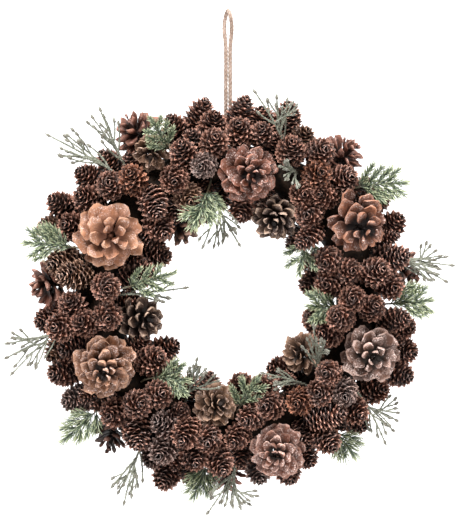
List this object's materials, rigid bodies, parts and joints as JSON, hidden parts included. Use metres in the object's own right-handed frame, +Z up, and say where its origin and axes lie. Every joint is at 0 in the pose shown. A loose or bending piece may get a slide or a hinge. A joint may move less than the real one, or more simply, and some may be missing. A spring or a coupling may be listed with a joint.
{
  "type": "hanging pinecone wreath",
  "caption": "Round wreath of small spruce cones and open pine cones on a twisted vine ring, with needle sprigs, budded twigs and a jute hanging loop.",
  "frame": {"origin": "the inside top of the jute loop, where a hook carries the wreath; the wreath's centre is 286 mm straight below it", "axes": "+Z up, -Y towards the viewer (the front of the wreath faces -Y), +X to the viewer's right"},
  "size_m": [0.455, 0.1145, 0.509],
  "materials": {
    "vine": "dark brown bark, dry and matt",
    "jute": "natural tan jute, twisted, hairy",
    "spruce_cone": "very dark brown scales with lighter worn edges, some glue sheen",
    "pine_cone": "light brown open scales with grey, frosted tips",
    "dark_pine_cone": "dark red-brown open scales with paler tips",
    "needles": "grey-green frosted needles",
    "budded_twig": "pale grey-green twigs with grey-brown buds"
  },
  "bodies": {
    "root": {"bud_spray_bottom": "budded_twig", "bud_spray_bottom_left": "budded_twig", "bud_spray_bottom_right": "budded_twig", "bud_spray_inner_bottom": "budded_twig", "bud_spray_inner_left": "budded_twig", "bud_spray_inner_lower_left": "budded_twig", "bud_spray_inner_right": "budded_twig", "bud_spray_inner_top": "budded_twig", "bud_spray_left": "budded_twig", "bud_spray_left_of_top": "budded_twig", "bud_spray_right": "budded_twig", "bud_spray_top_left": "budded_twig", "bud_spray_top_right": "budded_twig", "bud_spray_upper_right": "budded_twig", "hanging_loop": "jute", "large_cone_bottom": "pine_cone", "large_cone_lower_left": "pine_cone", "large_cone_lower_right": "pine_cone", "large_cone_top": "pine_cone", "large_cone_upper_left": "pine_cone", "large_cone_upper_right": "pine_cone", "loop_knot": "jute", "needle_sprig_bottom": "needles", "needle_sprig_bottom_left": "needles", "needle_sprig_bottom_right": "needles", "needle_sprig_inner_bottom": "needles", "needle_sprig_inner_left": "needles", "needle_sprig_inner_lower_left": "needles", "needle_sprig_inner_right": "needles", "needle_sprig_inner_top": "needles", "needle_sprig_inner_upper_right": "needles", "needle_sprig_right": "needles", "needle_sprig_top_left": "needles", "needle_sprig_upper_left": "needles", "needle_sprig_upper_right": "needles", "open_cone_bottom": "dark_pine_cone", "open_cone_bottom_left": "dark_pine_cone", "open_cone_far_left": "dark_pine_cone", "open_cone_far_right": "dark_pine_cone", "open_cone_inner_bottom_left": "dark_pine_cone", "open_cone_inner_left": "dark_pine_cone", "open_cone_inner_right": "dark_pine_cone", "open_cone_inner_top_left": "dark_pine_cone", "open_cone_inner_top_right": "dark_pine_cone", "open_cone_top_left": "dark_pine_cone", "open_cone_top_left_low": "dark_pine_cone", "open_cone_top_right": "dark_pine_cone", "small_cones_01": "spruce_cone", "small_cones_02": "spruce_cone", "small_cones_03": "spruce_cone", "small_cones_04": "spruce_cone", "small_cones_05": "spruce_cone", "small_cones_06": "spruce_cone", "small_cones_07": "spruce_cone", "small_cones_08": "spruce_cone", "small_cones_09": "spruce_cone", "small_cones_10": "spruce_cone", "small_cones_11": "spruce_cone", "small_cones_12": "spruce_cone", "vine_ring": "vine"}
  },
  "joints": []
}
